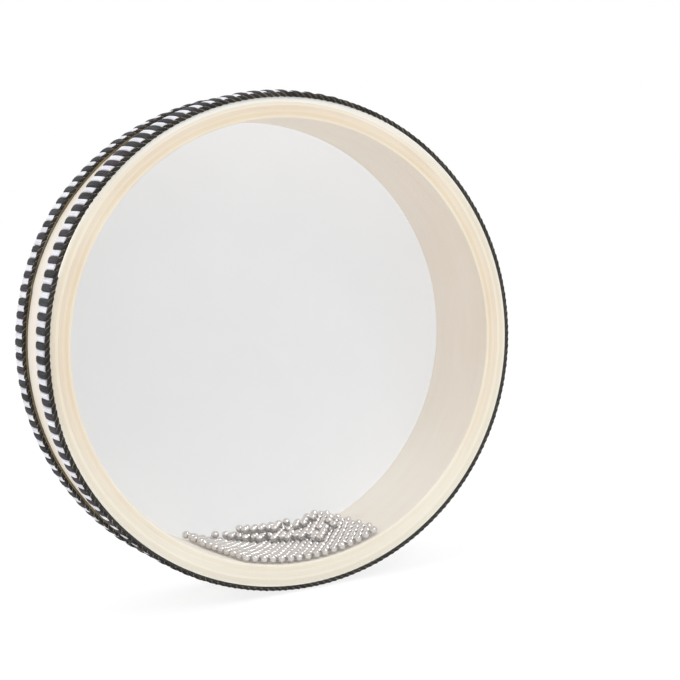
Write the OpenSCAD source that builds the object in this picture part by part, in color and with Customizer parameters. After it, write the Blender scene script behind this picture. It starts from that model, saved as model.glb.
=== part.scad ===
// Ocean drum: a bent plywood ring closed by two film heads, with steel beads loose inside.
// The drum stands on edge. Its axis lies along Y, the clear head faces -Y and the heap of beads lies at -Z.

/* [Shell] */
// Outside diameter of the wooden shell
shell_d = 254; // [200:1:330]
// Depth of the shell from its front edge to its rear edge
shell_depth = 60.5; // [54:0.5:80]
// Thickness of the laminated shell wall
wall_t = 11.5; // [7:0.1:14]
// Thickness of the glue line between two plies of the wall
ply_glue_t = 0.02; // [0.01:0.01:0.05]
// Radius of the eased edge round both mouths of the shell
mouth_ease = 0.6; // [0.3:0.05:1]

/* [Heads] */
// Thickness of the clear front film
front_film_t = 0.25; // [0.15:0.05:0.5]
// Thickness of the milky rear film
rear_film_t = 0.25; // [0.15:0.05:0.5]
// How far each film is turned down over the outside of the shell
hem_depth = 12; // [6:0.5:14]

/* [Trims] */
// Width of each braid trim, measured along the drum's axis
trim_w = 20; // [18:0.5:22]
// Setback of each trim from the end of the shell
trim_setback = 0.3; // [0.2:0.1:1]
// Diameter of the twisted cord along the front edge of each trim
edge_cord_d = 2.2; // [1.6:0.1:2.6]
// Thickness of the woven band under the yarn wraps
band_t = 0.5; // [0.3:0.1:0.8]
// Height of the black yarn wraps over the band
black_wrap_t = 2.4; // [1.6:0.1:2.8]
// Height of the white yarn wraps over the band
white_wrap_t = 2.1; // [1.6:0.1:2.8]
// Length of one black and one white wrap together, along the rim
wrap_pitch = 7.05; // [5:0.05:10]
// Free space on each side of a yarn wrap
wrap_gap = 0.06; // [0.05:0.01:0.2]

/* [Glue] */
// Height of the glue beads along the front edges of the trims
glue_h = 1; // [0.6:0.1:1.4]
// Width of the glue bead along the front edge of the rear trim
glue_w = 0.9; // [0.5:0.1:1.6]

/* [Beads] */
// Diameter of one steel bead
bead_d = 4.5; // [3.5:0.1:6]
// Free space between the beads and the shell and heads
bead_clearance = 0.35; // [0.3:0.05:0.8]
// Least free space between two beads
bead_gap = 0.06; // [0.04:0.01:0.2]
// Half of the angle round the drum that the heap covers, in degrees
heap_half_angle = 23; // [18:1:40]

/* [Hidden] */
$fn = 96;

// Seven plies are glued up to make the wall, so there is a ply for each of their names above.
ply_count = 7;
ply_t = (wall_t - (ply_count - 1) * ply_glue_t) / ply_count;
shell_r = shell_d / 2;
bore_r = shell_r - wall_t;
film_t = max(front_film_t, rear_film_t);

// The trims lie over the turned-down films.
trim_base_r = shell_r + film_t;
wrap_base_r = trim_base_r + band_t;
front_trim_start = trim_setback;
rear_trim_start = shell_depth - trim_setback - trim_w;
wrap_count = round(2 * PI * wrap_base_r / wrap_pitch);
pair_angle = 360 / wrap_count;
black_share = 0.52;
gap_angle = wrap_gap / wrap_base_r * 180 / PI;
// Lengthwise section of a wrap, from the cord to its free end, in shares of its length and of its height
wrap_section_shares = [[0, 0.7], [0.08, 0.9], [0.25, 1], [0.5, 0.97], [0.75, 0.8], [0.92, 0.5], [1, 0.2]];
// Turn of the first black wrap of each trim from the lowest point, as a share of a pair
front_phase_share = 0.5;
rear_phase_share = 0.72;

// The heap is laid out on the inside of the shell. Angles run from the lowest point towards +X.
bead_r = bead_d / 2;
bead_sides = 20;
floor_r = bore_r - bead_clearance - bead_r;
// The pitch shrinks towards the axis, so the floor is spaced for the beads of the third layer.
bead_pitch = (bead_d + bead_gap) * floor_r / (floor_r - 2 * bead_d);
// Each row lies this share of a pitch further round than the row in front of it, at least a half.
row_drift_share = 0.626;
row_step = (bead_d + bead_gap) * sqrt(1 - pow(1 - row_drift_share, 2));
row_first = bead_clearance + bead_r;
row_last = shell_depth - row_first;
row_count = floor((row_last - row_first) / row_step) + 1;
column_angle = bead_pitch / floor_r * 180 / PI;
// One column more than the half angle takes, because the heap isn't even
column_count = floor(heap_half_angle / column_angle) + 1;

// Each bead of a higher layer rests in the hollow of three beads.
tight_pitch = bead_pitch * (floor_r - bead_d) / floor_r;
layer_h = sqrt(pow(bead_d + bead_gap, 2) - pow(tight_pitch, 2) / 3);
// Small sideways scatter of the floor beads, and the extra lift that it asks of the beads above
scatter_share = 0.2;
scatter_lift_share = 1.5;
scatter = (bead_pitch - bead_d) * scatter_share;
scatter_lift = scatter * scatter_lift_share;
scatter_turn = 137.5;
// How far apart two bead centres may lie for one bead to carry the other, as a share of the diameter
carry_share = 1.15;

// Left and right edges of the floor layer and front edges of the higher layers, chosen by hand.
// Angles are shares of the half angle, and depths are shares of the way from the front row to the rear row.
floor_left_shares = [[0, -0.86], [0.28, -0.98], [0.94, -1.17]];
floor_right_shares = [[0, 0.93], [0.47, 0.9], [0.8, 0.87]];
second_front_shares = [
  [-0.65, 0.89], [-0.55, 0.843], [-0.3, 0.75], [-0.07, 0.628], [0.15, 0.525], [0.26, 0.225],
  [0.37, 0.225], [0.5, 0.412], [0.63, 0.468], [0.75, 0.674], [0.85, 0.796]
];
second_span_shares = [-0.6, 0.8];
third_front_shares = [[-0.55, 0.862], [-0.25, 0.806], [0.05, 0.731], [0.35, 0.674], [0.55, 0.796]];
third_span_shares = [-0.53, 0.56];
// One bead in this many is missing from the higher layers, so that their top is uneven
bead_skip = 11;
// Beads that lie apart from the heap: angle share, depth share and layer
stray_shares = [[-0.76, 0.94, 1], [0.62, 0.9, 2]];

// A bead's place follows from its layer (0 is the floor), its column round the drum and its row along the axis.
function row_drift(row) = (row * row_drift_share) % 1;
function lattice_angle(layer, column, row) = (column + row_drift(row) + layer / 2) * column_angle;
function lattice_depth(layer, row) = row_first + (row - layer / 3) * row_step;
function layer_r(layer) = floor_r - layer * (layer_h + scatter_lift);
function bead_place(layer, angle, depth) =
  [layer_r(layer) * sin(angle), depth - shell_depth / 2, -layer_r(layer) * cos(angle)];
function depth_share(depth) = (depth - row_first) / (row_last - row_first);
function wobble_angle(seed) = scatter / floor_r * 180 / PI * sin(seed * scatter_turn);
function carriers(place, below) = [for (other = below) if (norm(place - other) < bead_d * carry_share) other];

floor_places = [
  for (row = [0 : row_count - 1], column = [-column_count : column_count])
    let (
      angle = lattice_angle(0, column, row),
      depth = lattice_depth(0, row),
      share = angle / heap_half_angle,
      seed = row * (2 * column_count + 1) + column
    )
    if (share >= lookup(depth_share(depth), floor_left_shares)
      && share <= lookup(depth_share(depth), floor_right_shares))
      bead_place(0, angle + wobble_angle(seed), depth)
];

// A higher layer covers the one below from its front edge back to the rear row, wherever three beads carry
// a bead of it, with one missing here and there.
function layer_places(layer, below, span_shares, front_shares) = [
  for (row = [layer : row_count - 1], column = [-column_count : column_count])
    let (
      angle = lattice_angle(layer, column, row),
      depth = lattice_depth(layer, row),
      share = angle / heap_half_angle,
      place = bead_place(layer, angle, depth)
    )
    if (share >= span_shares[0] && share <= span_shares[1]
      && depth_share(depth) >= lookup(share, front_shares)
      && abs(row * 5 + column * 3) % bead_skip != 0
      && len(carriers(place, below)) >= 3)
      place
];
second_places = layer_places(1, floor_places, second_span_shares, second_front_shares);
third_places = layer_places(2, second_places, third_span_shares, third_front_shares);

// A stray bead lies in the hollow nearest to its shares of the heap.
stray_places = [
  for (stray = stray_shares)
    let (
      layer = stray[2],
      row = min(row_count - 1, max(layer, round(stray[1] * (row_count - 1)))),
      column = round(stray[0] * heap_half_angle / column_angle - row_drift(row) - layer / 2)
    )
    bead_place(layer, lattice_angle(layer, column, row), lattice_depth(layer, row))
];

// The whole heap is turned about the drum's axis until its centre of mass hangs straight below the axis.
all_places = concat(floor_places, second_places, third_places, stray_places);
heap_centre = [for (place = all_places) 1] * all_places / len(all_places);
heap_turn = atan2(heap_centre[0], -heap_centre[2]);

echo(beads = len(all_places), heap_turn = heap_turn, rows = row_count, wraps = wrap_count);

// Sets a shape made round the Z axis, from its front edge upwards, on the drum's axis.
module on_drum_axis() {
  translate([0, -shell_depth / 2, 0])
    rotate([-90, 0, 0])
      children();
}

// One ply of the wall, counted inwards from the outside.
module ply(index, tone) {
  outer_r = shell_r - index * (ply_t + ply_glue_t);
  inner_r = outer_r - ply_t;
  color(tone)
    on_drum_axis()
      rotate_extrude()
        translate([inner_r, 0])
          square([ply_t, shell_depth]);
}

// The innermost ply, whose inside edges are eased at both mouths.
module inner_face_ply() {
  color("burlywood")
    on_drum_axis()
      rotate_extrude()
        difference() {
          translate([bore_r, 0])
            square([ply_t, shell_depth]);
          mouth_corner();
          translate([0, shell_depth])
            mirror([0, 1])
              mouth_corner();
        }
}

// The corner that the eased edge takes off the inside of a mouth.
module mouth_corner() {
  difference() {
    translate([bore_r, 0])
      square(mouth_ease);
    translate([bore_r + mouth_ease, mouth_ease])
      circle(mouth_ease);
  }
}

// A flat film over one end of the shell, from its inner face at a depth.
module head_disc(face_depth, thickness) {
  on_drum_axis()
    translate([0, 0, face_depth])
      cylinder(h = thickness, r = shell_r + thickness);
}

module front_head() {
  color("lightcyan", 0.25)
    head_disc(-front_film_t, front_film_t);
}

module rear_head() {
  color("whitesmoke", 0.8)
    head_disc(shell_depth, rear_film_t);
}

// The turned-down edge of a film, glued round the outside of the shell.
module film_hem(start_depth, thickness) {
  on_drum_axis()
    rotate_extrude()
      translate([shell_r, start_depth])
        square([thickness, hem_depth]);
}

module front_head_hem() {
  color("lightcyan", 0.5)
    film_hem(0, front_film_t);
}

module rear_head_hem() {
  color("whitesmoke", 0.8)
    film_hem(shell_depth - hem_depth, rear_film_t);
}

// The woven band that carries the yarn of a trim, behind its edge cord.
module trim_band(start_depth) {
  color("dimgray")
    on_drum_axis()
      rotate_extrude()
        translate([trim_base_r, start_depth + edge_cord_d])
          square([band_t, trim_w - edge_cord_d]);
}

// Lengthwise section of a wrap, which swells behind the cord and thins towards its free end.
module wrap_outline(height) {
  length = trim_w - edge_cord_d - wrap_gap;
  back = [for (point = wrap_section_shares) [height * point[1], length * point[0]]];
  polygon(concat([[0, 0]], back, [[0, length]]));
}

// A ring of yarn wraps on a band, from the middle of its first wrap. Each wrap is a separate piece.
module wrap_ring(start_depth, first_angle, wrap_angle, height) {
  on_drum_axis()
    for (index = [0 : wrap_count - 1])
      rotate([0, 0, 90 - first_angle - index * pair_angle - wrap_angle / 2])
        rotate_extrude(angle = wrap_angle)
          translate([wrap_base_r, start_depth + edge_cord_d + wrap_gap])
            wrap_outline(height);
}

module black_wraps(start_depth, phase_share) {
  wrap_angle = pair_angle * black_share - 2 * gap_angle;
  color("#26262b")
    wrap_ring(start_depth, phase_share * pair_angle, wrap_angle, black_wrap_t);
}

// The white wraps lie halfway between the black ones.
module white_wraps(start_depth, phase_share) {
  wrap_angle = pair_angle * (1 - black_share) - 2 * gap_angle;
  color("#eeeef4")
    wrap_ring(start_depth, phase_share * pair_angle + pair_angle / 2, wrap_angle, white_wrap_t);
}

// The twisted cord along the front edge of a trim.
module edge_cord(start_depth) {
  color("#1c1c20")
    on_drum_axis()
      rotate_extrude()
        translate([trim_base_r + edge_cord_d / 2, start_depth + edge_cord_d / 2])
          circle(d = edge_cord_d);
}

// A bead of dried glue in the corner in front of an edge cord, on a base of a radius.
module glue_bead(base_r, cord_depth, width) {
  color("saddlebrown")
    on_drum_axis()
      rotate_extrude()
        translate([base_r, cord_depth])
          polygon([[0, 0], [glue_h, 0], [0, -width]]);
}

// Steel beads at a list of places, turned with the heap.
module bead_group(places) {
  color("silver")
    rotate([0, heap_turn, 0])
      for (place = places)
        translate(place)
          sphere(d = bead_d, $fn = bead_sides);
}

ply(0, "wheat");  // outer_face_ply
ply(1, "tan");  // core_ply_1
ply(2, "wheat");  // core_ply_2
ply(3, "tan");  // core_ply_3
ply(4, "wheat");  // core_ply_4
ply(5, "tan");  // core_ply_5
inner_face_ply();
front_head();
rear_head();
front_head_hem();
rear_head_hem();
trim_band(front_trim_start);  // front_trim_band
black_wraps(front_trim_start, front_phase_share);  // front_trim_black_wraps
white_wraps(front_trim_start, front_phase_share);  // front_trim_white_wraps
edge_cord(front_trim_start);  // front_trim_edge_cord
trim_band(rear_trim_start);  // rear_trim_band
black_wraps(rear_trim_start, rear_phase_share);  // rear_trim_black_wraps
white_wraps(rear_trim_start, rear_phase_share);  // rear_trim_white_wraps
edge_cord(rear_trim_start);  // rear_trim_edge_cord
glue_bead(trim_base_r, front_trim_start, trim_setback);  // front_trim_glue
glue_bead(shell_r, rear_trim_start, glue_w);  // rear_trim_glue
bead_group(floor_places);  // floor_beads
bead_group(second_places);  // second_layer_beads
bead_group(third_places);  // third_layer_beads
bead_group(stray_places);  // stray_beads
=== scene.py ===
import math
import random

import bmesh
import bpy
from mathutils import Matrix, Quaternion, Vector


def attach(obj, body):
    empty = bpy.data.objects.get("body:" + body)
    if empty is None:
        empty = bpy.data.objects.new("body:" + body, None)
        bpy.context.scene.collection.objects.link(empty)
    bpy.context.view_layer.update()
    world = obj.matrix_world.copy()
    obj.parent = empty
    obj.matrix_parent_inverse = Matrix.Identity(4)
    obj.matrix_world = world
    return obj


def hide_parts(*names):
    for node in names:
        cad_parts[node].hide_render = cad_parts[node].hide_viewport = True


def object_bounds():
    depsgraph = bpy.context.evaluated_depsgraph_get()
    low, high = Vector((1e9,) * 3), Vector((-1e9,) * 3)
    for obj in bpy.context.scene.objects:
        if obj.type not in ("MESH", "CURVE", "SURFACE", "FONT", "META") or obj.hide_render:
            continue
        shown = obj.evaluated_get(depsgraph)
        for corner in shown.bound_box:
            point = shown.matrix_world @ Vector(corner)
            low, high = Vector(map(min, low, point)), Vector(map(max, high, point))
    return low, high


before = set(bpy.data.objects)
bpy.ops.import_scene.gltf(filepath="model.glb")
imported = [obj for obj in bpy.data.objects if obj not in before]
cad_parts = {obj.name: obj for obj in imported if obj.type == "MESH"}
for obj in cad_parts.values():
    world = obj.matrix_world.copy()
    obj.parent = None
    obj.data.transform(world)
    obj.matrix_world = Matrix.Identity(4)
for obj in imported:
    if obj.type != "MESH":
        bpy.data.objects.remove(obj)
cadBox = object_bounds()

# The drum's axis is Y and its clear head faces -Y. An angle round the drum starts at its lowest point
# and grows toward +X. A radius is counted from the axis, and a depth along it from the drum's middle.
mm = 0.001
fullTurn = 2 * math.pi
weld = 0.001 * mm        # vertices closer than this become one
sameRing = 0.01 * mm     # an edge whose ends differ by less in radius and depth runs round the drum
nearRim = 0.1 * mm       # a rim's edges lie closer than this to its radius
print("frame: loaded", len(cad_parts), "nodes")


def ringSize(node):
    # inner and outer radius, and front and rear depth, of a round node
    places = [vertex.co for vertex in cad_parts[node].data.vertices]
    radii = [math.hypot(place.x, place.z) for place in places]
    depths = [place.y for place in places]
    return dict(inner=min(radii), outer=max(radii), front=min(depths), rear=max(depths))


def onDrum(radius, depth, angle):
    return Vector((radius * math.sin(angle), depth, -radius * math.cos(angle)))


def radiusAndDepth(vertex):
    return math.hypot(vertex.co.x, vertex.co.z), vertex.co.y


def smoothStep(share):
    share = min(max(share, 0.0), 1.0)
    return share * share * (3 - 2 * share)


shellRing = ringSize("outer_face_ply")
boreRing = ringSize("inner_face_ply")
headRing = ringSize("front_head")
hemRing = ringSize("front_head_hem")


# Shader helpers
def tint(red, green, blue):
    # a colour as it looks on screen, 0 to 255, in the linear values that Blender takes
    def toLinear(level):
        level = level / 255
        return level / 12.92 if level <= 0.04045 else ((level + 0.055) / 1.055) ** 2.4    # the sRGB curve
    return (toLinear(red), toLinear(green), toLinear(blue), 1.0)


class Wire:
    # one socket of a node tree, which Python sums can use
    def __init__(self, tree, socket):
        self.tree = tree
        self.socket = socket

    def out(self, name):
        return Wire(self.tree, self.socket.node.outputs[name])

    def maths(self, operation, *values):
        return self.tree.add("ShaderNodeMath", dict(operation=operation), dict(enumerate(values)))

    def __add__(self, other):
        return self.maths("ADD", self, other)

    def __radd__(self, other):
        return self.maths("ADD", other, self)

    def __sub__(self, other):
        return self.maths("SUBTRACT", self, other)

    def __rsub__(self, other):
        return self.maths("SUBTRACT", other, self)

    def __mul__(self, other):
        return self.maths("MULTIPLY", self, other)

    def __rmul__(self, other):
        return self.maths("MULTIPLY", other, self)

    def __truediv__(self, other):
        return self.maths("DIVIDE", self, other)

    def __rtruediv__(self, other):
        return self.maths("DIVIDE", other, self)

    def __pow__(self, other):
        return self.maths("POWER", self, other)

    def __rpow__(self, other):
        return self.maths("POWER", other, self)


class NodeTree:
    # a material's or the world's nodes, emptied and built by add()
    def __init__(self, owner, outputKind):
        owner.use_nodes = True
        self.owner = owner
        self.nodes = owner.node_tree.nodes
        self.links = owner.node_tree.links
        self.nodes.clear()
        self.output = self.nodes.new(outputKind)

    def add(self, kind, settings=None, sockets=None, output=0):
        node = self.nodes.new(kind)
        for name, value in (settings or {}).items():
            setattr(node, name, value)
        for name, value in (sockets or {}).items():
            if isinstance(value, Wire):
                self.links.new(value.socket, node.inputs[name])
            else:
                node.inputs[name].default_value = value
        return Wire(self, node.outputs[output])

    def show(self, shader):
        self.links.new(shader.socket, self.output.inputs["Surface"])
        return self.owner


def newFinish(name):
    return NodeTree(bpy.data.materials.new(name), "ShaderNodeOutputMaterial")


def blendColours(tree, share, first, second):
    # sockets 0, 6 and 7 of a colour Mix node are its factor and its two colours, and output 2 is the result
    return tree.add("ShaderNodeMix", dict(data_type="RGBA"), {0: share, 6: first, 7: second}, output=2)


def mixShaders(tree, share, first, second):
    return tree.add("ShaderNodeMixShader", sockets={0: share, 1: first, 2: second})


def mapRange(tree, value, span, result):
    return tree.add("ShaderNodeMapRange", sockets=dict(enumerate([value, *span, *result])))


def addBump(tree, height, strength, distance):
    return tree.add("ShaderNodeBump", sockets={"Height": height, "Strength": strength, "Distance": distance})


def addSurface(tree, colour, rough, **others):
    return tree.add("ShaderNodeBsdfPrincipled", sockets={"Base Color": colour, "Roughness": rough, **others})


def drumCoordinates(tree):
    # radius, direction round the drum as a sine (toward +X) and a cosine (toward +Z), and depth
    place = tree.add("ShaderNodeTexCoord", output="Object")
    parts = tree.add("ShaderNodeSeparateXYZ", sockets={0: place})
    across, depth, upward = parts.out("X"), parts.out("Y"), parts.out("Z")
    radius = (across * across + upward * upward) ** 0.5
    return radius, across / radius, upward / radius, depth


def streaks(tree, radiusScale, roundScale, depthScale, detail):
    # noise in streaks that run round the drum without a seam
    radius, sine, cosine, depth = drumCoordinates(tree)
    vector = tree.add("ShaderNodeCombineXYZ", sockets={
        0: sine * roundScale, 1: cosine * roundScale, 2: radius * radiusScale})
    return tree.add("ShaderNodeTexNoise", dict(noise_dimensions="4D"), {
        "Vector": vector, "W": depth * depthScale, "Scale": 1.0, "Detail": detail})


# Mesh helpers
def finishMesh(name, bm, finish, sharpAngle=35):
    # smooth faces, with edges left sharp past sharpAngle degrees
    for face in bm.faces:
        face.smooth = True
    for edge in bm.edges:
        edge.smooth = edge.calc_face_angle(0.0) < math.radians(sharpAngle)
    mesh = bpy.data.meshes.new(name)
    bm.to_mesh(mesh)
    bm.free()
    mesh.materials.append(finish)
    piece = bpy.data.objects.new(name, mesh)
    bpy.context.scene.collection.objects.link(piece)
    return piece


def fitPiece(piece, body, slot, *nodes):
    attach(piece, body)
    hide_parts(*nodes)


def spinOutline(outline, steps, closed=True):
    # turns (radius, depth) points once round the drum's axis
    bm = bmesh.new()
    corners = [bm.verts.new(onDrum(radius, depth, 0)) for radius, depth in outline]
    ends = corners[1:] + corners[:1] if closed else corners[1:]
    edges = [bm.edges.new(pair) for pair in zip(corners, ends)]
    bmesh.ops.spin(bm, geom=corners + edges, cent=(0, 0, 0), axis=(0, 1, 0), dvec=(0, 0, 0),
                   angle=fullTurn, steps=steps, use_merge=True)
    bmesh.ops.remove_doubles(bm, verts=bm.verts, dist=weld)
    bmesh.ops.recalc_face_normals(bm, faces=bm.faces)
    return bm


def roundRims(bm, width, segments, rimRadius):
    # bevels the edges that run round the drum at rimRadius
    rims = []
    for edge in bm.edges:
        first, second = (radiusAndDepth(vertex) for vertex in edge.verts)
        alongRing = abs(first[0] - second[0]) < sameRing and abs(first[1] - second[1]) < sameRing
        if alongRing and abs(first[0] - rimRadius) < nearRim:
            rims.append(edge)
    bmesh.ops.bevel(bm, geom=rims, offset=width, offset_type="OFFSET", affect="EDGES",
                    segments=segments, profile=0.5, material=-1, clamp_overlap=True)


# Camera, at the photograph's angle
view = dict(azimuth=-23.266, elevation=6.45, roll=5.305, distance=993.996 * mm, lens=99.2647,
            aim=Vector((34.45, -17.2, -3.8)) * mm, clipStart=50 * mm)


def lookFrom(azimuth, elevation):
    # the way from the drum toward a camera or lamp, its azimuth counted from -Y toward +X
    azimuth, elevation = math.radians(azimuth), math.radians(elevation)
    return Vector((math.sin(azimuth) * math.cos(elevation), -math.cos(azimuth) * math.cos(elevation),
                   math.sin(elevation)))


def facing(direction):
    return direction.to_track_quat("-Z", "Y")


def addCamera():
    away = lookFrom(view["azimuth"], view["elevation"])
    data = bpy.data.cameras.new("camera")
    data.lens = view["lens"]
    data.clip_start = view["clipStart"]
    camera = bpy.data.objects.new("camera", data)
    turn = facing(-away) @ Quaternion((0, 0, 1), -math.radians(view["roll"]))
    place = Matrix.Translation(view["aim"] + away * view["distance"])
    camera.matrix_world = place @ turn.to_matrix().to_4x4()
    bpy.context.scene.collection.objects.link(camera)
    bpy.context.scene.camera = camera


addCamera()
print("camera: placed")


# Laminated wooden shell
shell = dict(steps=256, slopeShare=0.45, slopeDrop=0.4 * mm, slopePower=1.4, filmGap=0.03 * mm,
             mouthEase=0.6 * mm, mouthSegments=3)
# Noise scales are along the radius, round the drum and along the depth, and then comes the detail. A span
# is of the drum's height, from -1 at its bottom to 1 at its top. A value that ends in Past is how far out in
# the wall a ply has to lie, from 0 at the bore to 1 outside.
wood = dict(
    broadGrain=(900, 2.4, 160, 3.0), fineGrain=(2600, 7.0, 900, 2.0), blotches=(60, 3.0, 60, 1.0),
    broadShare=0.9, fineShare=0.6, blotchShare=0.7,
    # pale low on the drum, tan at its sides and top: partly the wood's own tone, partly painted light
    tanSpan=(-0.8, -0.15), tanShares=(0.12, 0.88),
    glueLine=0.07 * mm, glueShare=0.4, glueTone=tint(205, 184, 154),
    # painted highlight: the outer plies' end grain turns near white toward the top of the drum
    paintedTopHighlightPast=0.8, paintedTopHighlightSpan=(0.5, 0.95), paintedTopHighlightTone=tint(246, 243, 236),
    # painted highlight: a thin near-white line along the outer edge of the outside ply
    paintedRimHighlightPast=0.99, paintedRimHighlightLine=0.6 * mm, paintedRimHighlightTone=tint(250, 246, 233),
    outsidePast=0.5, outsideTones=(tint(235, 228, 216), tint(221, 211, 196)),
    # the bore's tones: its veneer, set light and paler low down where the wall faces up, as painted light
    boreTonesWithPaintedLight=(tint(250, 243, 231), tint(239, 224, 205)), boreGrainShare=0.6,
    # painted shade: the bore turns darker tan in the corner where it meets the rear head
    rearCornerShadeWidth=2.2 * mm, rearCornerShadeShare=0.6, rearCornerShadeTone=tint(206, 184, 152), endGrain=1.0 * mm,
    rough=0.42, roughSwing=0.2, bumpFineShare=0.5, bump=0.12, bumpDepth=0.05 * mm)
# The plies from the outside inwards, each with its end grain's colours low on the drum and at its sides
plies = dict(
    outerFaceVeneer=("outer_face_ply", "pale_ply", tint(242, 236, 219), tint(236, 228, 210)),
    coreVeneer1=("core_ply_1", "tan_ply", tint(239, 231, 213), tint(233, 220, 195)),
    coreVeneer2=("core_ply_2", "pale_ply", tint(250, 243, 227), tint(240, 228, 204)),
    coreVeneer3=("core_ply_3", "tan_ply", tint(246, 239, 222), tint(231, 214, 190)),
    coreVeneer4=("core_ply_4", "pale_ply", tint(247, 240, 223), tint(236, 218, 190)),
    coreVeneer5=("core_ply_5", "tan_ply", tint(245, 236, 217), tint(232, 212, 179)),
    innerFaceVeneer=("inner_face_ply", "pale_ply", tint(250, 243, 227), tint(238, 224, 200)))
wallWidth = shellRing["outer"] - boreRing["inner"]
slopeStart = shellRing["outer"] - shell["slopeShare"] * wallWidth


def endSlope(radius):
    # how far the end face falls back toward its outer edge
    share = (radius - slopeStart) / (shellRing["outer"] - slopeStart)
    return shell["slopeDrop"] * max(share, 0.0) ** shell["slopePower"]


def makeWood(name, pale, tan, plyOuter):
    # pale and tan are the end grain's colours, and the long faces have those of the shell's two faces
    tree = newFinish(name)
    outward = (plyOuter - boreRing["inner"]) / wallWidth
    radius, sine, cosine, depth = drumCoordinates(tree)
    broad = streaks(tree, *wood["broadGrain"])
    fine = streaks(tree, *wood["fineGrain"])
    blotch = streaks(tree, *wood["blotches"])
    grain = (broad - 0.5) * wood["broadShare"] + (fine - 0.5) * wood["fineShare"]
    grain = grain + (blotch - 0.5) * wood["blotchShare"]
    # paler low on the drum and tanner at its sides and top: partly the veneer's own tone, partly painted
    # light
    climb = mapRange(tree, cosine, wood["tanSpan"], wood["tanShares"])
    endTone = blendColours(tree, climb + grain, pale, tan)
    line = radius.maths("COMPARE", radius, plyOuter, wood["glueLine"])
    endTone = blendColours(tree, line * wood["glueShare"], endTone, wood["glueTone"])
    # painted highlight: near white toward the top, where the film mirrors the light above
    if outward > wood["paintedTopHighlightPast"]:
        top = mapRange(tree, cosine, wood["paintedTopHighlightSpan"], (0.0, 1.0))
        endTone = blendColours(tree, top, endTone, wood["paintedTopHighlightTone"])
    # painted highlight: a thin near-white line at the outer edge, where the film's corner catches the light
    if outward > wood["paintedRimHighlightPast"]:
        rim = radius.maths("GREATER_THAN", radius, shellRing["outer"] - wood["paintedRimHighlightLine"])
        endTone = blendColours(tree, rim, endTone, wood["paintedRimHighlightTone"])
    if outward > wood["outsidePast"]:
        faceTone = blendColours(tree, grain + 0.5, *wood["outsideTones"])
    else:
        # painted light over the veneer's tone: paler low on the drum, where the bore's wall faces up
        faceTone = blendColours(tree, climb + grain * wood["boreGrainShare"], *wood["boreTonesWithPaintedLight"])
        # painted shade: darker tan toward the corner where the bore meets the rear head
        rearCornerShadeSpan = (shellRing["rear"] - wood["rearCornerShadeWidth"], shellRing["rear"])
        rearCornerShade = mapRange(tree, depth, rearCornerShadeSpan, (0.0, wood["rearCornerShadeShare"]))
        faceTone = blendColours(tree, rearCornerShade, faceTone, wood["rearCornerShadeTone"])
    fromMiddle = depth.maths("ABSOLUTE", depth)
    inEnd = depth.maths("GREATER_THAN", fromMiddle, shellRing["rear"] - wood["endGrain"])
    colour = blendColours(tree, inEnd, faceTone, endTone)
    bump = addBump(tree, broad + fine * wood["bumpFineShare"], wood["bump"], wood["bumpDepth"])
    rough = wood["rough"] + (fine - 0.5) * wood["roughSwing"]
    return tree.show(addSurface(tree, colour, rough, Normal=bump))


def buildShell():
    for name, (node, slot, pale, tan) in plies.items():
        ring = ringSize(node)
        levels = [ring["inner"], (ring["inner"] + ring["outer"]) / 2, ring["outer"]]
        front = [(radius, ring["front"] + shell["filmGap"] + endSlope(radius)) for radius in levels]
        rear = [(radius, ring["rear"] - shell["filmGap"] - endSlope(radius)) for radius in levels[::-1]]
        bm = spinOutline(front + rear, shell["steps"])
        if node == "inner_face_ply":
            roundRims(bm, shell["mouthEase"], shell["mouthSegments"], ring["inner"])
        finish = makeWood(name, pale, tan, ring["outer"])
        fitPiece(finishMesh(name, bm, finish), "drum", slot, node)


buildShell()
print("shell:", len(plies), "plies")


# Film heads, each turned down over the shell in one sheet
film = dict(steps=256, corner=0.8 * mm, cornerPoints=6, gap=0.03 * mm, sharpAngle=80,
            flatShares=[0.0, 0.4, 0.8, 1.0], slopedShares=[0.25, 0.5, 0.75, 1.0])
clearFilm = dict(ripples=(30, 3.0, 30, 1.0), bump=0.25, bumpDepth=0.3 * mm, through=(0.99, 0.99, 0.99, 1.0),
                 haze=tint(244, 246, 246), hazeRough=0.35, veil=0.035, veilSwing=0.02, glossRough=0.06,
                 straightGloss=0.035)
# How white the milky sheet is: in its middle, and, as painted light, how much more to the right,
# at its top and bottom and toward the bottom alone, and, as the sheet's own, in its clouds
milkyFilm = dict(clouds=(22, 2.0, 22, 2.0), fibres=(900, 60.0, 900, 2.0),
                 grey=tint(229, 229, 230), white=tint(250, 250, 250),
                 middle=0.39, paintedLightRightward=0.18, ends=0.52, paintedLightDownward=0.05, cloudy=0.15,
                 rough=0.38, bump=0.08, bumpDepth=0.02 * mm, translucent=0.82, solid=0.88, solidSwing=0.04)


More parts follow.
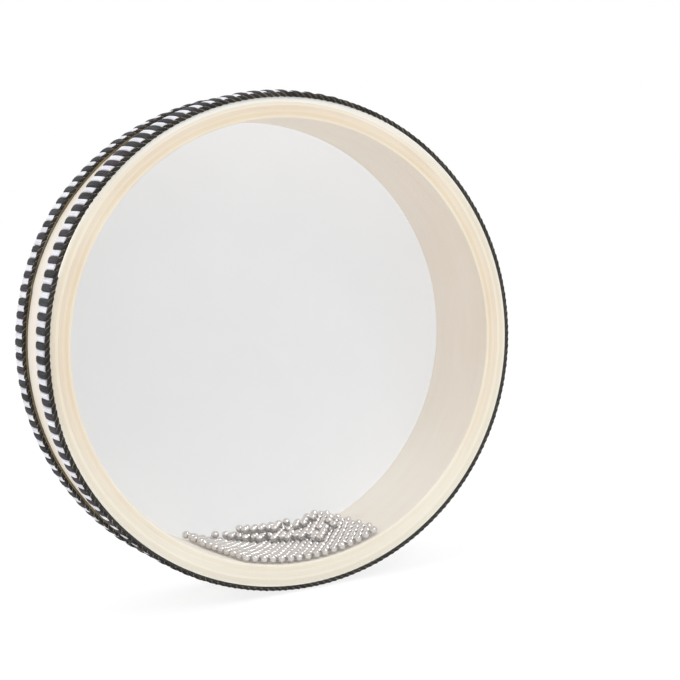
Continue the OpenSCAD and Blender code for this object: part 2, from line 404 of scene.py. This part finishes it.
def buildHead(name, finish, slot, side, *nodes):
    # side is -1 for the front head and 1 for the rear one
    thick = headRing["rear"] - headRing["front"]
    end = shellRing["rear"] + thick
    hemEnd = end - (hemRing["rear"] - headRing["front"])
    flat = [share * boreRing["inner"] for share in film["flatShares"]] + [slopeStart]
    slopeWidth = headRing["outer"] - film["corner"] - slopeStart
    sloped = [slopeStart + slopeWidth * share for share in film["slopedShares"]]
    outline = [(radius, end - endSlope(radius)) for radius in flat + sloped]
    lastRadius, lastDepth = outline[-1]
    for index in range(1, film["cornerPoints"] + 1):
        turn = math.pi / 2 * index / film["cornerPoints"]
        outline.append((lastRadius + film["corner"] * math.sin(turn),
                        lastDepth - film["corner"] * (1 - math.cos(turn))))
    outline.append((headRing["outer"], hemEnd))
    bm = spinOutline([(radius, side * depth) for radius, depth in outline], film["steps"], closed=False)
    disc = min(bm.faces, key=lambda face: radiusAndDepth(face.verts[0])[0])
    if disc.normal.y * side < 0:
        bmesh.ops.reverse_faces(bm, faces=bm.faces)
    head = finishMesh(name, bm, finish, film["sharpAngle"])
    wall = head.modifiers.new("thickness", "SOLIDIFY")
    wall.thickness = thick - film["gap"]
    wall.offset = -1
    fitPiece(head, "drum", slot, *nodes)


def schlick(tree, base):
    # how much a smooth surface mirrors, base where it is seen straight on
    edgeOn = tree.add("ShaderNodeLayerWeight", sockets={"Blend": 0.5}, output="Facing")
    return base + (1 - base) * edgeOn ** 5


def makeClearFilm():
    tree = newFinish("clearFilm")
    ripple = streaks(tree, *clearFilm["ripples"])
    bump = addBump(tree, ripple, clearFilm["bump"], clearFilm["bumpDepth"])
    clear = tree.add("ShaderNodeBsdfTransparent", sockets={"Color": clearFilm["through"]})
    haze = addSurface(tree, clearFilm["haze"], clearFilm["hazeRough"], Normal=bump)
    veil = mixShaders(tree, clearFilm["veil"] + clearFilm["veilSwing"] * ripple, clear, haze)
    gloss = tree.add("ShaderNodeBsdfGlossy", sockets={"Roughness": clearFilm["glossRough"], "Normal": bump})
    return tree.show(mixShaders(tree, schlick(tree, clearFilm["straightGloss"]), veil, gloss))


def makeMilkyFilm():
    # the sheet scatters light to both sides and lets a little straight through
    tree = newFinish("milkyFilm")
    cloud = streaks(tree, *milkyFilm["clouds"])
    fibre = streaks(tree, *milkyFilm["fibres"])
    radius, sine, cosine, depth = drumCoordinates(tree)
    share = radius / shellRing["outer"]
    climb = share * cosine
    # painted light: whiter to the right, at top and bottom and toward the bottom; the clouds are the sheet's
    # own
    white = milkyFilm["middle"] + share * sine * milkyFilm["paintedLightRightward"] + climb * climb * milkyFilm["ends"]
    white = white - climb * milkyFilm["paintedLightDownward"] + (cloud - 0.5) * milkyFilm["cloudy"]
    tones = (milkyFilm["grey"], milkyFilm["white"])
    bump = addBump(tree, fibre, milkyFilm["bump"], milkyFilm["bumpDepth"])
    sheet = addSurface(tree, blendColours(tree, white, *tones), milkyFilm["rough"], Normal=bump)
    glows = [tree.add("ShaderNodeBsdfTranslucent", sockets={"Color": tone}) for tone in tones]
    scatter = mixShaders(tree, milkyFilm["translucent"], sheet, mixShaders(tree, white, *glows))
    clear = tree.add("ShaderNodeBsdfTransparent")
    solid = milkyFilm["solid"] + milkyFilm["solidSwing"] * cloud
    return tree.show(mixShaders(tree, solid, clear, scatter))


buildHead("clearHead", makeClearFilm(), "clear_film", -1, "front_head", "front_head_hem")
buildHead("milkyHead", makeMilkyFilm(), "milky_film", 1, "rear_head", "rear_head_hem")
print("heads: clear and milky")


# Braid trims: a twisted cord along the front edge, and black and white yarn laid from it over a band
braid = dict(pairs=114, gap=0.06 * mm, bandRound=0.2 * mm, bandSegments=2, bandShort=1.4 * mm,
             seamStep=2.2, seamFade=28.0, seamDepth=1.8 * mm, wander=0.12 * mm, wanderCounts=(3, 7, 16, 31),
             leanCount=4, depthShares=[0, 0.14, 0.36, 0.62, 0.86, 1], widthShares=[1, 1, 1, 1, 1, 0.92],
             crownPower=5, leastHeight=0.9, startWander=0.15 * mm, endShiftShare=0.33, endWander=0.3 * mm,
             bulge=0.3 * mm)
# A lay's rows are an angle in degrees and, in mm, how far back the cord and the yarn's free ends lie there
# and how far the ends stand off the shell
layColumns = ["angle", "cord", "ends", "standOff"]
# Each trim's glue tones colour the bead in front of its cord: glue, darkened as painted contact shadow of
# the cord
trims = dict(
    front=dict(phase=0.5, lean=(-0.35, -0.2, -127), seam=-111.3, seed=11, inwardShare=0.42, glueFollows=0.0,
               lay=[(-180, -1.6, 0.8, 0.9), (-150, -1.3, 1.8, 1.5), (-120, -0.9, 0, 0.3),
                    (-92, -1.6, -1.5, 0), (-70, -0.3, -0.4, 0), (-45, 0, 0, 0), (0, -0.4, 0, 0),
                    (40, -0.1, 0, 0), (130, 0, 0, 0), (180, -1.6, 0.8, 0.9)],
               glueAndShadowTones=(tint(30, 28, 22), tint(52, 48, 38))),
    rear=dict(phase=0.72, lean=(-0.2, 0.17, -143), seam=-107.3, seed=23, inwardShare=0.0, glueFollows=1.0,
              lay=[(-180, -1.2, 0, -0.6), (-165, -1.2, 0, -1.0), (-150, -1.2, 0, -0.3), (-120, 0.5, 0, 0),
                   (-90, 0.8, 0.2, 0), (-50, 0.4, 0.4, 0), (0, 0, 0, 0), (180, -1.2, 0, -0.6)],
              glueAndShadowTones=(tint(54, 48, 33), tint(118, 102, 68))))
tongues = dict(
    BlackYarn=dict(part="black_wraps", finish="blackYarn", slot="black_yarn", share=0.52, lead=0.0,
                   columns=8, ribs=4, rib=0.28 * mm, heightShares=[0.6, 0.9, 1, 0.94, 0.68, 0.3],
                   edgeShare=0.6, start=-0.9 * mm, concave=0.0, skew=0.15 * mm),
    WhiteYarn=dict(part="white_wraps", finish="whiteYarn", slot="white_yarn", share=0.48, lead=0.5,
                   columns=6, ribs=3, rib=0.2 * mm, heightShares=[0.7, 0.95, 1, 0.94, 0.68, 0.3],
                   edgeShare=0.65, start=0.3 * mm, concave=0.8 * mm, skew=0.1 * mm))
# Two black strands and, in the grooves between them, two thin threads that come and go in colour
twist = dict(strands=2, turns=114, stepsPerTurn=12, sink=0.1 * mm, roundness=1)
cords = dict(
    Cord=dict(finish="blackCord", strand=0.78 * mm, lay=0.66 * mm, lead=0.0),
    Fleck=dict(finish="fleckThread", strand=0.26 * mm, lay=1.0 * mm, lead=0.25))
glue = dict(steps=720, points=6, ripple=0.12 * mm, heightRippleShare=1.5, underCord=0.5 * mm,
            rippleCounts=(5, 12, 29, 53, 88), seedShift=5, sharpAngle=60)
alwaysSmooth = 180        # degrees


def seamShift(trim, angle):
    # the cord lies further back beside the seam, where the trim's two ends meet, and comes home slowly
    past = (trim["seam"] - math.degrees(angle)) % 360
    if past > braid["seamFade"]:
        return 0.0
    return braid["seamDepth"] * smoothStep(past / braid["seamStep"]) * (1 - past / braid["seamFade"])


def laidAngle(trim, angle):
    # the strips of yarn are laid a little unevenly round the drum: mean and swing of their lean in degrees
    mean, swing, start = trim["lean"]
    return angle + math.radians(mean + swing * math.cos(braid["leanCount"] * (angle - math.radians(start))))


def layShift(trim, angle, what):
    column = layColumns.index(what)
    degrees = (math.degrees(angle) + 180) % 360 - 180
    for first, second in zip(trim["lay"], trim["lay"][1:]):
        if degrees <= second[0]:
            share = smoothStep((degrees - first[0]) / (second[0] - first[0]))
            return (first[column] + (second[column] - first[column]) * share) * mm


def cordWander(trim, angle):
    waves = random.Random(trim["seed"])
    sway = sum(math.sin(angle * count + waves.uniform(0, fullTurn)) / count ** 0.5
               for count in braid["wanderCounts"])
    return seamShift(trim, angle) + braid["wander"] * sway


def tongueTemplate(columns, rows):
    # a pillow over the unit square: x from side to side, y from front to rear, z 0 at its foot and 1 on top
    bm = bmesh.new()
    bmesh.ops.create_grid(bm, x_segments=columns, y_segments=rows, size=1)
    for vertex in bm.verts:
        vertex.co.z = 1
    rim = [edge for edge in bm.edges if edge.is_boundary]
    skirt = bmesh.ops.extrude_edge_only(bm, edges=rim)["geom"]
    for vertex in (item for item in skirt if isinstance(item, bmesh.types.BMVert)):
        vertex.co.z = 0
    bmesh.ops.edgeloop_fill(bm, edges=[edge for edge in bm.edges if edge.is_boundary])
    return bm


def buildTongues(name, trim, yarn, rings, finish, node):
    # one strip of yarn for each pair, from the cord to its free rear end
    draw = random.Random(trim["seed"] + yarn["columns"])
    lastRow = len(braid["depthShares"]) - 1
    bm = tongueTemplate(yarn["columns"], lastRow)
    template = bm.verts[:] + bm.edges[:] + bm.faces[:]
    pairAngle = fullTurn / braid["pairs"]
    foot, wraps = rings["band"]["outer"], rings[yarn["part"]]
    halfWidth = (pairAngle * foot * yarn["share"] - braid["gap"]) / 2
    for index in range(braid["pairs"]):
        middle = laidAngle(trim, (trim["phase"] + yarn["lead"] + index) * pairAngle)
        wander = cordWander(trim, middle)
        start = rings["edge_cord"]["rear"] + yarn["start"] + wander + layShift(trim, middle, "cord")
        start += draw.uniform(-1, 1) * braid["startWander"]
        end = wraps["rear"] - braid["bulge"] + wander * braid["endShiftShare"]
        end += layShift(trim, middle, "ends") - draw.uniform(0, 2) * braid["endWander"]
        standOff = layShift(trim, middle, "standOff")
        skew = draw.uniform(-1, 1) * yarn["skew"]
        height = (wraps["outer"] - foot) * draw.uniform(braid["leastHeight"], 1)
        copy = bmesh.ops.duplicate(bm, geom=template)["geom"]
        for vertex in (item for item in copy if isinstance(item, bmesh.types.BMVert)):
            side, row = vertex.co.x, round((vertex.co.y + 1) / 2 * lastRow)
            along = braid["depthShares"][row]
            depth = start + (end - start) * along
            if row == 0:
                depth += yarn["concave"] * (0.5 - side * side)
            if row == lastRow:
                depth += braid["bulge"] * (1 - side * side)
            crown = yarn["edgeShare"] + (1 - yarn["edgeShare"]) * (1 - abs(side) ** braid["crownPower"])
            rib = yarn["rib"] * (0.5 - 0.5 * math.cos(fullTurn * yarn["ribs"] * (side + 1) / 2))
            lift = (height * crown - yarn["rib"] + rib) * yarn["heightShares"][row] + standOff * along
            lift = max(lift, yarn["rib"]) * vertex.co.z
            across = side * halfWidth * braid["widthShares"][row] + skew * along
            vertex.co = onDrum(foot + lift, depth, middle + across / foot)
    bmesh.ops.delete(bm, geom=template, context="VERTS")
    bmesh.ops.recalc_face_normals(bm, faces=bm.faces)
    fitPiece(finishMesh(name, bm, finish, alwaysSmooth), "drum", yarn["slot"], node)


def buildCord(name, trim, cord, ring, finish, node):
    # strands laid round each other, each one closed loop round the drum
    radiusMiddle = (ring["inner"] + ring["outer"]) / 2 - twist["sink"]
    depthMiddle = (ring["front"] + ring["rear"]) / 2
    line = bpy.data.curves.new(name, "CURVE")
    line.dimensions = "3D"
    line.bevel_depth = cord["strand"]
    line.bevel_resolution = twist["roundness"]
    count = twist["turns"] * twist["stepsPerTurn"]
    for strand in range(twist["strands"]):
        spline = line.splines.new("POLY")
        spline.points.add(count - 1)
        spline.use_cyclic_u = True
        for index, point in enumerate(spline.points):
            angle = fullTurn * index / count
            turn = angle * twist["turns"] + fullTurn * (strand / twist["strands"] + cord["lead"])
            shift = layShift(trim, angle, "cord")
            depth = depthMiddle + cordWander(trim, angle) + shift + cord["lay"] * math.sin(turn)
            radius = radiusMiddle + min(shift, 0) * trim["inwardShare"] + cord["lay"] * math.cos(turn)
            point.co = (*onDrum(radius, depth, angle), 1)
    holder = bpy.data.objects.new(name, line)
    mesh = bpy.data.meshes.new_from_object(holder)
    bpy.data.objects.remove(holder)
    bm = bmesh.new()
    bm.from_mesh(mesh)
    bmesh.ops.recalc_face_normals(bm, faces=bm.faces)
    fitPiece(finishMesh(name, bm, finish, alwaysSmooth), "drum", "black_cord", node)


def buildGlue(name, trim, ring, finish, node):
    # a low bead squeezed out in front of the cord, uneven along its length;
    # its tones are glue and painted contact shadow of the cord
    waves = random.Random(trim["seed"] + glue["seedShift"])
    ripples = [(count, waves.uniform(0, fullTurn)) for count in glue["rippleCounts"]]
    width, height = ring["rear"] - ring["front"], ring["outer"] - ring["inner"]
    outline = [(ring["inner"], ring["rear"] + glue["underCord"])]
    for index in range(glue["points"] + 1):
        turn = math.pi / 2 * index / glue["points"]
        outline.append((ring["inner"] + height * math.sin(turn), ring["rear"] - width * math.cos(turn)))
    outline.append((ring["outer"], ring["rear"] + glue["underCord"]))
    bm = spinOutline(outline, glue["steps"])
    for vertex in bm.verts:
        radius, depth = radiusAndDepth(vertex)
        angle = math.atan2(vertex.co.x, -vertex.co.z)
        uneven = sum(math.sin(angle * count + phase) for count, phase in ripples) / len(ripples)
        ripple = uneven * glue["ripple"]
        radius += (radius - ring["inner"]) / height * ripple * glue["heightRippleShare"]
        depth += cordWander(trim, angle) + layShift(trim, angle, "cord") * trim["glueFollows"] + ripple
        vertex.co = onDrum(radius, depth, angle)
    fitPiece(finishMesh(name, bm, finish, glue["sharpAngle"]), "drum", "glue", node)


def buildBand(name, ring, finish, node):
    front, rear = ring["front"], ring["rear"] - braid["bandShort"]
    outline = [(ring["inner"], front), (ring["outer"], front), (ring["outer"], rear), (ring["inner"], rear)]
    bm = spinOutline(outline, shell["steps"])
    roundRims(bm, braid["bandRound"], braid["bandSegments"], ring["outer"])
    fitPiece(finishMesh(name, bm, finish), "drum", "woven_band", node)


# Finishes of the trims: a dark tone, two light ones that take turns, and how strongly the threads stand out
yarns = dict(
    blackYarn=(tint(30, 30, 31), tint(86, 78, 86), tint(74, 79, 78), 1.3),
    whiteYarn=(tint(198, 197, 204), tint(243, 242, 248), tint(238, 240, 244), 1.2),
    blackCord=(tint(20, 19, 20), tint(62, 60, 58), tint(52, 50, 54), 1.2),
    fleckThread=(tint(38, 35, 30), tint(146, 138, 122), tint(124, 112, 88), 2.4),
    wovenBand=(tint(30, 29, 30), tint(56, 54, 56), tint(50, 50, 50), 1.0))
yarnLook = dict(threads=(800, 520.0, 60, 2.0), fuzz=(2500, 330.0, 2500, 2.0), patches=(10, 14.0, 40, 0.0),
                dyes=(10, 19.0, 20, 0.0), threadShare=1.6, patchShare=0.8, dyeShare=3, bumpFuzzShare=0.5,
                bump=0.7, bumpDepth=0.12 * mm, rough=0.85, specular=0.25)
glueAndShadowLook = dict(flows=(900, 26.0, 900, 3.0), patches=(100, 9.0, 100, 1.0), flowShare=1.4, patchShare=1.6,
                bump=0.5, bumpDepth=0.15 * mm, rough=0.22)


def makeYarn(name, dark, light, otherLight, contrast):
    # threads run along the drum's axis, and each strip of yarn differs a little from the next
    tree = newFinish(name)
    thread = streaks(tree, *yarnLook["threads"])
    fuzz = streaks(tree, *yarnLook["fuzz"])
    patch = streaks(tree, *yarnLook["patches"])
    dye = streaks(tree, *yarnLook["dyes"])
    share = (thread - 0.5) * yarnLook["threadShare"] * contrast + (fuzz - 0.5) * contrast
    share = share + (patch - 0.5) * yarnLook["patchShare"] + 0.5
    lights = blendColours(tree, (dye - 0.5) * yarnLook["dyeShare"] + 0.5, light, otherLight)
    colour = blendColours(tree, share, dark, lights)
    bump = addBump(tree, thread + yarnLook["bumpFuzzShare"] * fuzz, yarnLook["bump"], yarnLook["bumpDepth"])
    others = {"Normal": bump, "Specular IOR Level": yarnLook["specular"]}
    return tree.show(addSurface(tree, colour, yarnLook["rough"], **others))


# the bead's colours are glue, with painted contact shadow of the cord in the dark tone
def makeGlue(name, dark, light):
    tree = newFinish(name)
    flow = streaks(tree, *glueAndShadowLook["flows"])
    patch = streaks(tree, *glueAndShadowLook["patches"])
    share = (flow - 0.5) * glueAndShadowLook["flowShare"] + (patch - 0.5) * glueAndShadowLook["patchShare"] + 0.5
    bump = addBump(tree, flow, glueAndShadowLook["bump"], glueAndShadowLook["bumpDepth"])
    colour = blendColours(tree, share, dark, light)
    return tree.show(addSurface(tree, colour, glueAndShadowLook["rough"], Normal=bump))


def buildTrims():
    finishes = {name: makeYarn(name, *look) for name, look in yarns.items()}
    for place, trim in trims.items():
        nodes = {part: f"{place}_trim_{part}" for part in (
            "band", "black_wraps", "white_wraps", "edge_cord", "glue")}
        rings = {part: ringSize(node) for part, node in nodes.items()}
        title = place + "Trim"
        buildBand(title + "Band", rings["band"], finishes["wovenBand"], nodes["band"])
        for part, yarn in tongues.items():
            buildTongues(title + part, trim, yarn, rings, finishes[yarn["finish"]], nodes[yarn["part"]])
        for part, cord in cords.items():
            finish = finishes[cord["finish"]]
            buildCord(title + part, trim, cord, rings["edge_cord"], finish, nodes["edge_cord"])
        glueAndShadowFinish = makeGlue(place + "Glue", *trim["glueAndShadowTones"])
        buildGlue(title + "Glue", trim, rings["glue"], glueAndShadowFinish, nodes["glue"])


buildTrims()
print("trims: front and rear")


# Steel beads
beads = dict(subdivisions=2, seed=7, smearScale=420.0, smearDetail=2.0, dark=tint(203, 199, 196),
             light=tint(219, 215, 212), rough=0.03, roughSwing=0.04,
             layers=dict(floorBeads="floor_beads", secondLayerBeads="second_layer_beads",
                         thirdLayerBeads="third_layer_beads", strayBeads="stray_beads"))


def solidCentres(node):
    # the middle and radius of each ball in a node, from a merged copy of its mesh
    bm = bmesh.new()
    bm.from_mesh(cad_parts[node].data)
    bmesh.ops.remove_doubles(bm, verts=bm.verts, dist=weld)
    left = set(bm.verts)
    centres = []
    while left:
        reached = [left.pop()]
        for vertex in reached:
            for edge in vertex.link_edges:
                other = edge.other_vert(vertex)
                if other in left:
                    left.remove(other)
                    reached.append(other)
        corners = [[pick(vertex.co[axis] for vertex in reached) for axis in range(3)] for pick in (min, max)]
        low, high = (Vector(corner) for corner in corners)
        centres.append(((low + high) / 2, max(high - low) / 2))
    bm.free()
    return sorted(centres, key=lambda item: tuple(item[0]))


def makeSteel():
    tree = newFinish("polishedSteel")
    place = tree.add("ShaderNodeTexCoord", output="Object")
    smear = tree.add("ShaderNodeTexNoise", sockets={
        "Vector": place, "Scale": beads["smearScale"], "Detail": beads["smearDetail"]})
    colour = blendColours(tree, smear, beads["dark"], beads["light"])
    return tree.show(addSurface(tree, colour, beads["rough"] + smear * beads["roughSwing"], Metallic=1.0))


def buildBeads():
    # each ball is turned at random, so that their faces don't line up
    steel = makeSteel()
    draw = random.Random(beads["seed"])
    total = 0
    for name, node in beads["layers"].items():
        bm = bmesh.new()
        for centre, radius in solidCentres(node):
            axis = (draw.uniform(-1, 1), draw.uniform(-1, 1), draw.uniform(-1, 1))
            turn = Quaternion(axis, draw.uniform(0, 3)).normalized()
            place = Matrix.Translation(centre) @ turn.to_matrix().to_4x4()
            bmesh.ops.create_icosphere(bm, subdivisions=beads["subdivisions"], radius=radius, matrix=place)
            total += 1
        fitPiece(finishMesh(name, bm, steel, alwaysSmooth), "beads", "steel_beads", node)
    return total


print("beads:", buildBeads())


# Floor, world and lamps
studio = dict(floorHalf=6.0, floorGap=0.02 * mm, floorTone=(0.9, 0.9, 0.9, 1.0), floorGlow=0.8,
              floorStrength=1.04, ambient=1.0, background=1.0, lampDistance=2.2)
plainWhite = (1, 1, 1, 1)
lamps = dict(
    left=dict(azimuth=-84, elevation=33, size=0.4, power=7, onlyGloss=False),
    right=dict(azimuth=24, elevation=44, size=0.4, power=8, onlyGloss=False),
    rear=dict(azimuth=158, elevation=32, size=1.1, power=6, onlyGloss=False),
    sparkle=dict(azimuth=27, elevation=47, size=0.4, power=22, onlyGloss=True))


def looked(tree):
    # 1 where the background is looked at, straight or in metal and film, and 0 where it lights the drum
    path = tree.add("ShaderNodeLightPath", output="Is Camera Ray")
    return path.maths("MINIMUM", path + path.out("Is Glossy Ray") + path.out("Is Transmission Ray"), 1.0)


def buildFloor():
    lowest = cadBox[0][2]
    bm = bmesh.new()
    bmesh.ops.create_grid(bm, x_segments=1, y_segments=1, size=studio["floorHalf"])
    bmesh.ops.translate(bm, verts=bm.verts, vec=(0, 0, lowest - studio["floorGap"]))
    tree = newFinish("paleFloor")
    paper = tree.add("ShaderNodeBsdfDiffuse", sockets={"Color": studio["floorTone"]})
    glow = tree.add("ShaderNodeEmission", sockets={"Color": plainWhite, "Strength": studio["floorStrength"]})
    tree.show(mixShaders(tree, looked(tree) * studio["floorGlow"], paper, glow))
    finishMesh("floor", bm, tree.owner)


def lightWorld():
    world = bpy.data.worlds.new("studio")
    bpy.context.scene.world = world
    tree = NodeTree(world, "ShaderNodeOutputWorld")
    room = tree.add("ShaderNodeBackground", sockets={"Color": plainWhite, "Strength": studio["ambient"]})
    seen = tree.add("ShaderNodeBackground", sockets={"Color": plainWhite, "Strength": studio["background"]})
    tree.show(mixShaders(tree, looked(tree), room, seen))


def addLamp(name, lamp):
    data = bpy.data.lights.new(name, "AREA")
    data.shape = "DISK"
    data.size = lamp["size"]
    data.energy = lamp["power"]
    away = lookFrom(lamp["azimuth"], lamp["elevation"])
    holder = bpy.data.objects.new(name, data)
    place = Matrix.Translation(away * studio["lampDistance"])
    holder.matrix_world = place @ facing(-away).to_matrix().to_4x4()
    holder.visible_camera = False
    holder.visible_diffuse = not lamp["onlyGloss"]
    bpy.context.scene.collection.objects.link(holder)


buildFloor()
lightWorld()
for name, lamp in lamps.items():
    addLamp(name + "Lamp", lamp)
bpy.context.scene.view_settings.view_transform = "Standard"
print("studio: floor, world and", len(lamps), "lamps")
